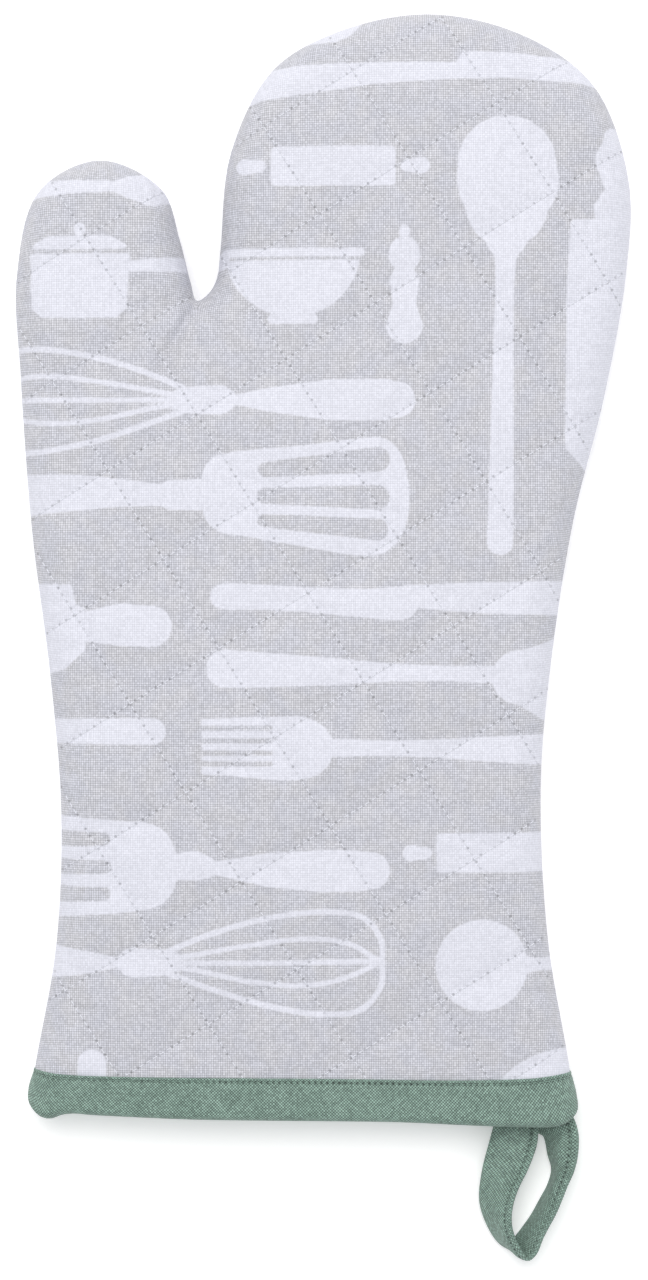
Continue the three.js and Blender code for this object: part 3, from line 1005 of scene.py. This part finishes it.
def twisted_thread(name, low, high):
    """Sewing thread: fine twisted plies, with painted shade: the darker of two close tones lies in
    the grooves between them.
    """
    thread = Material(name, roughness=0.6, sheen=0.2, specular=0.4)
    x, y, z = shader_node(thread.tree, "TexCoord", {}, "Object").parts()
    plies = ((x + y * 0.8 + z) * PLY_WAVES).math("SINE") * 0.5 + 0.5
    # The plies' bump also sets the colour, so their grooves carry painted shade.
    return thread.finish(plies.mix(low, high), plies, 0.5, 0.00006)


# Each look is a material and the record's slot that it belongs to.
COTTON = (printed_cotton(), "printed_cotton")
BINDING_TAPE = (green_tape("binding_cotton"), "binding_tape")
LOOP_TAPE = (green_tape("loop_cotton"), "loop_tape")
LINING = (
    plain_cotton("lining_cotton", srgb(226, 222, 212), srgb(240, 237, 229)), "lining_cotton"
)
BATTING = (fibre("wadding_fibre", srgb(228, 227, 222), srgb(248, 248, 246)), "wadding")
pale_thread = twisted_thread("pale_thread", srgb(217, 219, 227), srgb(233, 234, 241))
QUILT_THREAD, SEAM_THREAD = (pale_thread, "quilting_thread"), (pale_thread, "seam_thread")
GREEN_THREAD = (
    twisted_thread("green_thread", srgb(112, 140, 127), srgb(142, 169, 156)), "green_thread"
)


# ---------------------------------------------------------------- panels


def unrolled(points):
    """Flat cloth coordinates: plan points, with the rolled edge laid out flat."""
    distance, nearest = from_line(points, seam_dense)
    inward = points - nearest
    length = np.maximum(np.linalg.norm(inward, axis=1), 1e-6)
    turn = np.arccos(1 - np.clip(distance / EDGE_ROUND, 0, 1))
    past = EDGE_ROUND * (1 - math.pi / 2 + turn) - np.minimum(distance, EDGE_ROUND)
    return points + inward * (past / length)[:, None]


def by_body(plan, faces):
    """Splits faces by body. Yields the body, its vertex numbers and renumbered faces."""
    groups = {"hand": [], "fingers": [], "thumb": []}
    for group in faces:
        names = body_at(plan[group].mean(1))
        for body in groups:
            groups[body].append(group[names == body])
    for body, parts in groups.items():
        used = np.unique(np.concatenate([part.ravel() for part in parts]))
        renumber = np.zeros(len(plan), int)
        renumber[used] = np.arange(len(used))
        yield body, used, [renumber[part] for part in parts if len(part)]


def listed(groups):
    """The faces of several arrays in one list."""
    return [face for group in groups for face in group.tolist()]


def mirrored(points, side):
    """Back-of-mitt coordinates as they read from behind."""
    return points if side == FRONT else points * (-1, 1)


def make_skins():
    """The printed panels, one for each body on each face."""
    plan, triangles, quads = plan_mesh(FINE)
    flat = unrolled(plan)
    for face_name, side in SIDES.items():
        points, _ = form(plan, side)
        faces = [triangles[:, ::side], quads[:, ::side]]
        normals = surface_normals(points, faces)
        on_cloth = {
            "rest": mirrored(flat, side),
            "print": print_distance(mirrored(plan, side)),
            "stitch": quilt_frame(plan),
        }
        for body, used, kept in by_body(plan, faces):
            piece = add_piece(
                f"{face_name}_panel_{body}", f"{face_name}_skin_{body}", body, points[used],
                listed(kept), COTTON, {k: v[used] for k, v in on_cloth.items()}, normals[used],
            )


def closed_layer(inner, outer, groups):
    """Points and faces of a layer: two surfaces joined by a wall round their edge."""
    count = len(inner)
    edges = set()
    for face in listed(groups):
        for a, b in zip(face, face[1:] + face[:1]):
            if (b, a) in edges:
                edges.remove((b, a))
            else:
                edges.add((a, b))
    wall = [[b, a, a + count, b + count] for a, b in sorted(edges)]
    lifted = [face[::-1] for face in shifted(listed(groups), count)]
    return np.vstack([inner, outer]), listed(groups) + lifted + wall


def make_inner_layers():
    """The lining, and the wadding between it and the skin."""
    plan, triangles, quads = plan_mesh(HIDDEN, inset=PANEL)
    for face_name, side in SIDES.items():
        points, _ = form(plan, side, PANEL, quilted=False)
        outer, inner = [form(plan, side, depth, quilted=False)[0] for depth in WADDING]
        rest = mirrored(plan, side)
        split = list(by_body(plan, [triangles[:, ::-side], quads[:, ::-side]]))
        for body, used, kept in split:
            add_piece(
                f"{face_name}_inner_{body}", f"{face_name}_lining_{body}", body, points[used],
                listed(kept), LINING, {"rest": rest[used]},
            )
        for body, used, kept in split:
            layer, faces = closed_layer(inner[used], outer[used], kept)
            piece = add_piece(
                f"{face_name}_batting_{body}", f"{face_name}_wadding_{body}", body, layer,
                faces, BATTING, {"rest": np.vstack([rest[used], rest[used]])},
            )


def make_quilting():
    """The quilting thread: stitch after stitch along both families of rows."""
    low = np.floor(quilt_frame(seam_line).min(0) / QUILT_PITCH).astype(int)
    high = np.ceil(quilt_frame(seam_line).max(0) / QUILT_PITCH).astype(int)
    spots, ways = [], []
    for axis in (0, 1):
        reach = QUILT_PITCH * np.array([low[1 - axis], high[1 - axis]])
        along = np.arange(*reach, STITCH_PITCH) + STITCH_PITCH / 2
        along = (np.floor(along / STITCH_PITCH) + 0.5) * STITCH_PITCH
        step = np.zeros((len(along), 2))
        step[:, 1 - axis] = STITCH_PITCH * 0.3
        for row in range(low[axis], high[axis] + 1):
            uv = np.empty((len(along), 2))
            uv[:, axis], uv[:, 1 - axis] = row * QUILT_PITCH, along
            spots.append(from_quilt_frame(uv))
            ways.append(from_quilt_frame(uv + step) - from_quilt_frame(uv))
    spots, ways = np.vstack(spots), np.vstack(ways)
    distance, _ = from_line(spots, seam_dense)
    kept = inside(spots, seam_dense) & (distance > SEAM_CLEAR) & (spots[:, 1] > BINDING_HEIGHT - 2)
    spots, ways = spots[kept], ways[kept]
    names = body_at(spots)
    for face_name, side in SIDES.items():
        centres, normals = form(spots, side)
        along = form(spots + ways, side)[0] - form(spots - ways, side)[0]
        centres = centres + normals * THREAD_RADIUS * 0.45
        for body in ("hand", "fingers", "thumb"):
            at = names == body
            mesh = stitch_mesh(centres[at], along[at], normals[at], STITCH_LENGTH)
            add_piece(
                f"{face_name}_stitches_{body}", f"{face_name}_quilting_{body}", body, *mesh,
                QUILT_THREAD,
            )


def make_seam():
    """The thread of the seam that joins the two faces, down in the groove."""
    line = even(seam_dense[seam_dense[:, 1] > BINDING_HEIGHT - 1], SEAM_STITCH)
    inward = -normals_of(line)
    level = np.zeros(len(line))
    centres = np.column_stack([line + inward * (SEAM_DIP - 0.1), seam_height(line[:, 1])])
    along = np.column_stack([np.gradient(line, axis=0), level])
    up = np.column_stack([-inward, level])
    names = body_at(line)
    x, y = line.T
    hand, at_crotch = names == "hand", y > CROTCH_FROM
    stretches = {
        "fingers": names == "fingers",
        "thumb": names == "thumb",
        "crotch": hand & at_crotch,
        "thumb_side": hand & (x < 0) & ~at_crotch,
        "outer_side": hand & (x > 0) & ~at_crotch,
    }
    for name, at in stretches.items():
        mesh = stitch_mesh(centres[at], along[at], up[at], SEAM_STITCH * 0.8)
        body = name if name in FOLDS else "hand"
        add_piece(f"seam_stitches_{name}", f"seam_thread_{name}", body, *mesh, SEAM_THREAD)


# ---------------------------------------------------------------- the cuff

EDGE_TURNS = np.radians(np.arange(0, 90, 7.5))  # columns round each rolled side of the mouth
ACROSS = 96  # columns over each flat side of the mouth
MOUTH_LEVEL = 4.0  # the height at which the mouth's width is taken
BINDING_TURN = 1.9  # how deep the binding's fold under the rim is
BINDING_WAVES = 0.16  # how uneven the binding lies
TOPSTITCH_PROUD = 0.58  # of the panel's face
TOPSTITCH = (TOPSTITCH_PITCH * 0.74, THREAD_RADIUS * 0.9)  # length and radius of a stitch


def cuff_seam(y):
    """The seam's x on the left and on the right at a height near the cuff."""
    half = len(seam_dense) // 2
    sides = seam_dense[:half], seam_dense[half:][::-1]
    low = [side[side[:, 1] < 120] for side in sides]
    return [np.interp(y, side[:, 1], side[:, 0]) for side in low]


def mouth_columns():
    """The columns once round the mouth: their sides, and the one of (left turn, right turn,
    share across) that each has, where the others are not a number."""
    flat = (np.arange(ACROSS) + 0.5) / ACROSS
    none, no_turn = np.full(len(flat), np.nan), np.full(len(EDGE_TURNS), np.nan)
    left = np.column_stack([EDGE_TURNS, no_turn, no_turn])
    right = np.column_stack([no_turn, EDGE_TURNS, no_turn])[::-1]
    half = np.vstack([left, np.column_stack([none, none, flat]), right])
    back = half[::-1][1:-1]
    side = np.r_[np.full(len(half), FRONT), np.full(len(back), REAR)]
    return side, np.vstack([half, back])


def mouth_points(columns, y, inset):
    """Plan points round the mouth at the given heights, shrunk by an inset."""
    left, right = cuff_seam(y)
    left_turn, right_turn, share = columns.T
    reach = EDGE_ROUND - inset
    x = left + EDGE_ROUND + (right - left - 2 * EDGE_ROUND) * share
    x = np.where(np.isnan(left_turn), x, left + inset + reach * (1 - np.cos(left_turn)))
    x = np.where(np.isnan(right_turn), x, right - inset - reach * (1 - np.cos(right_turn)))
    return np.column_stack([x, y])


def mouth_surface(side, columns, height, inset, proud):
    """3-D points round the mouth, `height` above the rim and `proud` of the panel."""
    rough = mouth_points(columns, np.full(len(side), MOUTH_LEVEL), 0)[:, 0]
    x = np.interp(rough, cuff_seam(MOUTH_LEVEL), (rim_line[0, 0], rim_line[-1, 0]))
    low, high = np.interp(x, *rim_line.T), np.interp(x, *cuff_top_line.T)
    y = low + (high - low) * height / BINDING_HEIGHT
    plan = mouth_points(columns, y, inset)
    # Round the two sides, the upper part of the binding stands less proud.
    turn = np.nan_to_num(np.fmin(columns[:, 0], columns[:, 1]), nan=math.pi / 2)
    proud = proud * (1 - 0.7 * smooth(5, 12, height) * (1 - np.sin(turn)))
    points = np.empty((len(side), 3))
    for one in (FRONT, REAR):
        at = side == one
        place, normal = form(plan[at], one, inset)
        points[at] = place + normal * proud[at, None]
    return points


def bias(along, across):
    """The coordinates of cloth that is woven at 45 degrees to its length."""
    return np.column_stack([along + across, along - across]) / math.sqrt(2)


def binding_section(row):
    """The folded binding from its front edge to its back one: height, inset and proud."""
    top = BINDING_HEIGHT
    leg = [(top - 0.1, -0.3), (top, 0.15), (top, 0.55), (top - 0.2, 0.85), (top - 0.45, 0.9)]
    leg += [(row + 0.4, 0.78), (row + 0.2, 0.64), (row, 0.6), (row - 0.2, 0.64)]
    leg += [(row - 0.5, 0.82)] + [(h, 1.0) for h in np.arange(row - 1.3, 2.4, -1.05)]
    turn = [
        (BINDING_TURN * (1 - math.sin(a)), PANEL * (1 - math.cos(a)) / 2, math.cos(a))
        for a in np.radians(np.arange(0, 181, 15))
    ]
    return [(h, 0.0, p) for h, p in leg] + turn + [(h, PANEL, -p) for h, p in leg[::-1]]


def make_binding():
    """The bias tape folded over the mouth's edge, and the stitch row along its top."""
    side, columns = mouth_columns()
    round_mouth = run_of(mouth_surface(side, columns, 6, 0, 0.8))
    every = np.ones(len(side))
    row = BINDING_HEIGHT - TOPSTITCH_DROP
    rings, rest, stitch = [], [], []
    down = 0.0
    for k, (height, inset, proud) in enumerate(binding_section(row)):
        pull = BINDING_WAVES * noise(np.column_stack([round_mouth, every * (k * 1.1)]), 6, 8)
        rings.append(mouth_surface(side, columns, height, inset, proud + pull * (height > 2)))
        if k:
            down += np.linalg.norm(rings[-1] - rings[-2], axis=1).mean()
        rest.append(bias(round_mouth, down))
        off_row = height - row if inset == 0 else BINDING_HEIGHT
        stitch.append(np.column_stack([every * off_row, round_mouth]))
    add_piece(
        "rim_binding", "cuff_binding", "hand", np.vstack(rings),
        tube_faces(len(rings), len(side), ends=False), BINDING_TAPE,
        {"rest": np.vstack(rest), "stitch": np.vstack(stitch)},
    )

    line = mouth_surface(side, columns, row, 0, TOPSTITCH_PROUD)
    above = mouth_surface(side, columns, row, 0, TOPSTITCH_PROUD + 1)
    line, above = np.vstack([line, line[:1]]), np.vstack([above, above[:1]])
    run = run_of(line)
    at = np.arange(TOPSTITCH_PITCH / 2, run[-1], TOPSTITCH_PITCH)
    centres = sample(line, run, at)
    along = sample(line, run, at + 0.3) - sample(line, run, at - 0.3)
    mesh = stitch_mesh(centres, along, sample(above, run, at) - centres, *TOPSTITCH)
    add_piece("rim_stitches", "binding_topstitch", "hand", *mesh, GREEN_THREAD)


# ---------------------------------------------------------------- the hanging loop

LOOP_EDGES = [  # stitched edge, free edge and how far the tape bows between them
    ((72.5, 7, 9.2), (59.5, 7, 8.2), 0.3),
    ((71.2, 1, 9.4), (57.8, 1, 8.4), 0.3),
    ((70.8, -3, 9.7), (57.1, -3, 8.5), 0.3),
    ((70.2, -8.5, 10.1), (55.6, -9, 7.6), 0.3),
    ((67.6, -15.5, 10.8), (53.8, -16.5, 6.4), 0.3),
    ((64.6, -21.4, 11.4), (53.1, -22.5, 4.7), 0.3),
    ((62.8, -26.7, 11.9), (53.5, -27.5, 3.1), 0.4),
    ((62.3, -31.1, 12.3), (55.2, -32.5, 2.1), 0.5),
    ((63, -35.1, 12.6), (58, -37.4, 1.5), 0.6),
    ((64.9, -39.3, 12.8), (60.9, -39.9, 1.4), 0.6),
    ((67.4, -42.6, 12.9), (62.9, -39.7, 1.4), 0.5),
    ((69.8, -40.9, 12.9), (64.1, -37.5, 1.4), -0.2),
    ((71.9, -36, 12.8), (66.1, -34.8, 1.6), -0.6),
    ((74.6, -30.7, 12.7), (68.8, -31, 1.9), -0.9),
    ((77, -25.2, 12.5), (71.5, -26.2, 2), -1.1),
    ((79.2, -20, 12.3), (74.1, -21.6, 1.6), -1.5),
    ((80.9, -16.3, 12.2), (75.3, -16.9, 1), -2),
    ((82.1, -12, 12), (74, -12.2, 0.9), -2.5),
    ((82.6, -8, 11.6), (73.5, -9.2, 0.9), -2.8),
    ((82.5, -4.6, 11), (72.7, -6.8, 1.4), -2.6),
    ((81.5, -1, 10.2), (70.8, -5.4, 2.8), -1.8),
    ((79, 3, 9), (68.2, -0.5, 5.6), -1),
    ((76, 7.5, 8.6), (66, 7, 7.6), -0.4),
]
TAPE_THICKNESS = 1.5
TAPE_HALF = 6.5
FACE_SHIFT = 20  # either way in the flat cloth, so that the tape's two faces differ
TAPE_RIDGE = 0.3  # where the bow is highest, from the free edge at -1 to the other at 1
TAPE_ROW = 0.71  # where the stitch row runs, on the same scale
TAPE_GROOVE, TAPE_GROOVE_WIDTH = 0.4, 0.035  # depth, and width on the same scale
TAPE_WAVES = 0.25
TAPE_STITCH_SINK = 0.36  # how deep under the tape's faces its stitches lie
RIDGE_SHARP = 8  # higher makes a sharper ridge
TAPE_SHARES = np.r_[
    -1, -0.975, -0.92, -0.8, np.linspace(-0.65, 0.55, 9), 0.62, 0.68, TAPE_ROW, 0.74, 0.8,
    0.88, 0.95, 0.985, 1,
]
END_OUTLINE = [  # once round the section of a flat tape end, as shares of width and thickness
    (0, 0.25), (0.02, 0.06), (0.06, 0), (0.5, 0), (0.94, 0), (0.98, 0.06), (1, 0.25),
    (1, 0.75), (0.98, 0.94), (0.94, 1), (0.5, 1), (0.06, 1), (0.02, 0.94), (0, 0.75),
]
TAPE_ENDS = [  # left edge, right edge, level and how much the right edge is lifted
    (59.5, 72.5, 6.9, 0.9), (66, 75.8, 6.9 - TAPE_THICKNESS, 0.7),
]
TAPE_END_THICKNESS = 1.3
TAPE_END_SPAN = (6, BINDING_HEIGHT + 3)  # from the cuff edge
TACK_X, TACK_Y, TACK_LEVEL = (60, 75.5), 9, 8.5
TACK_STEP, TACK_SWING = 0.75, 0.8  # the zigzag's step along x, and its swing either way


def tape_ridge(shares):
    """How the bow is shared out over the width: 1 at the ridge and 0 at both edges."""
    up = (1 + shares) / (1 + TAPE_RIDGE)
    down = (1 - shares) / (1 - TAPE_RIDGE)
    return -np.log(np.exp(-RIDGE_SHARP * up) + np.exp(-RIDGE_SHARP * down)) / RIDGE_SHARP


def make_loop():
    """The folded tape, standing on its free edge, and the stitch row through it."""
    path = spline([(*stitched, *free, bow) for stitched, free, bow in LOOP_EDGES], 12)
    path = even(path, 0.9)
    stitched, free, bow = path[:, :3], path[:, 3:6], path[:, 6]
    middle, half = (stitched + free) / 2, (stitched - free) / 2
    tangent = np.gradient(middle, axis=0)
    face = unit(np.cross(tangent, unit(half)))
    run = run_of(middle)
    every = np.ones(len(run))
    groove = TAPE_GROOVE * np.exp(-(((TAPE_SHARES - TAPE_ROW) / TAPE_GROOVE_WIDTH) ** 2))
    thick = np.sqrt(np.clip(1 - np.abs(TAPE_SHARES) ** 14, 0, 1))
    last = len(TAPE_SHARES) - 1
    outline = [(k, 1) for k in range(last + 1)] + [(k, -1) for k in range(last - 1, 0, -1)]
    points, rest, stitch = [], [], []
    for k, side in outline:
        share = TAPE_SHARES[k]
        lift = TAPE_WAVES * noise(np.column_stack([run, every * (k * 0.9)]), 7, 12)
        lift = bow * tape_ridge(share) + lift
        if k < last:
            lift = lift + side * (thick[k] * TAPE_THICKNESS / 2 - groove[k])
        points.append(middle + half * share + face * lift[:, None])
        rest.append(bias(run, share * TAPE_HALF + side * FACE_SHIFT))
        stitch.append(np.column_stack([every * ((share - TAPE_ROW) * TAPE_HALF), run]))
    on_cloth = {
        "rest": np.stack(rest, 1).reshape(-1, 2),
        "stitch": np.stack(stitch, 1).reshape(-1, 2),
    }
    add_piece(
        "tape_loop", "hanging_loop", "loop", np.stack(points, 1).reshape(-1, 3),
        tube_faces(len(path), len(outline)), LOOP_TAPE, on_cloth,
    )

    at = np.arange(4, run[-1] - 4, TOPSTITCH_PITCH)
    row = middle + half * TAPE_ROW + face * bow[:, None] * tape_ridge(TAPE_ROW)
    centres, ways, up = (sample(line, run, at) for line in (row, tangent, face))
    off = TAPE_THICKNESS / 2 - TAPE_STITCH_SINK
    points, faces = [], []
    for side in (1, -1):
        one, its_faces = stitch_mesh(centres + up * off * side, ways, up * side, *TOPSTITCH)
        faces += shifted(its_faces, len(points) * len(one))
        points.append(one)
    add_piece(
        "tape_stitches", "loop_stitching", "loop", np.vstack(points), faces, GREEN_THREAD
    )


def make_tape_ends():
    """The loop's two ends, caught one on the other inside the mouth, and the tack over them."""
    points, faces = [], []
    rows = np.linspace(*TAPE_END_SPAN, 7)
    for low, high, base, tilt in TAPE_ENDS:
        faces += shifted(tube_faces(len(rows), len(END_OUTLINE)), len(points))
        for y in rows:
            for across, up in END_OUTLINE:
                level = base + TAPE_END_THICKNESS * up + tilt * across
                points.append((low + (high - low) * across, y, level))
    points = np.array(points)
    on_cloth = {
        "rest": bias(points[:, 0], points[:, 1]),
        "stitch": np.full((len(points), 2), QUILT_PITCH / 2),
    }
    add_piece("tape_ends", "loop_tail", "hand", points, faces, LOOP_TAPE, on_cloth)

    x = np.arange(*TACK_X, TACK_STEP)
    zigzag = np.arange(len(x)) % 2 * 2 - 1
    every = np.ones(len(x))
    centres = np.column_stack([x, TACK_Y + TACK_SWING * zigzag, every * TACK_LEVEL])
    along = np.column_stack([every * TACK_STEP, -2 * TACK_SWING * zigzag, every * 0])
    up = np.tile([0.0, 0, 1], (len(x), 1))
    mesh = stitch_mesh(centres, along, up, 1.9, THREAD_RADIUS * 1.1)
    add_piece("tape_tack", "loop_bar_tack", "hand", *mesh, GREEN_THREAD)


# ---------------------------------------------------------------- stage, light and camera


def make_stage():
    """The table, the soft light from all round and one broad lamp."""
    floor_material = bpy.data.materials.new("floor")
    floor_material.use_nodes = True
    shader = floor_material.node_tree.nodes["Principled BSDF"]
    shader.inputs["Base Color"].default_value = srgb(252, 252, 252)
    shader.inputs["Roughness"].default_value = 0.9
    shader.inputs["Emission Color"].default_value = (1, 1, 1, 1)
    shader.inputs["Emission Strength"].default_value = FLOOR_GLOW
    bpy.ops.mesh.primitive_plane_add(size=8, location=(0, 0, 0))
    floor = bpy.context.object
    floor.name = "floor"
    floor.data.materials.append(floor_material)

    world = bpy.data.worlds.new("studio")
    bpy.context.scene.world = world
    world.use_nodes = True
    background = world.node_tree.nodes["Background"]
    background.inputs["Color"].default_value = (0.97, 0.98, 1, 1)
    background.inputs["Strength"].default_value = DOME_LIGHT

    lamp = bpy.data.lights.new("key", "AREA")
    lamp.shape = "DISK"
    lamp.size = KEY_SIZE
    lamp.energy = KEY_WATTS
    lamp.color = (1, 0.985, 0.97)
    light = bpy.data.objects.new("key", lamp)
    light.location = KEY_PLACE
    light.rotation_euler = (-Vector(KEY_PLACE)).to_track_quat("-Z", "Y").to_euler()
    bpy.context.scene.collection.objects.link(light)


def make_camera():
    """A camera straight above the mitt."""
    camera_data = bpy.data.cameras.new("camera")
    camera = bpy.data.objects.new("camera", camera_data)
    bpy.context.scene.collection.objects.link(camera)
    middle = (cad_box[0][2] + cad_box[1][2]) / 2
    camera.location = (*VIEW_CENTRE, middle + CAMERA_HEIGHT)
    camera_data.sensor_fit = "VERTICAL"
    camera_data.sensor_height = 36
    camera_data.lens = camera_data.sensor_height * CAMERA_HEIGHT / VIEW_TALL
    bpy.context.scene.camera = camera


make_camera()
make_stage()
make_skins()
make_inner_layers()
make_quilting()
make_seam()
make_binding()
make_loop()
make_tape_ends()

bpy.context.scene.view_settings.view_transform = "Standard"
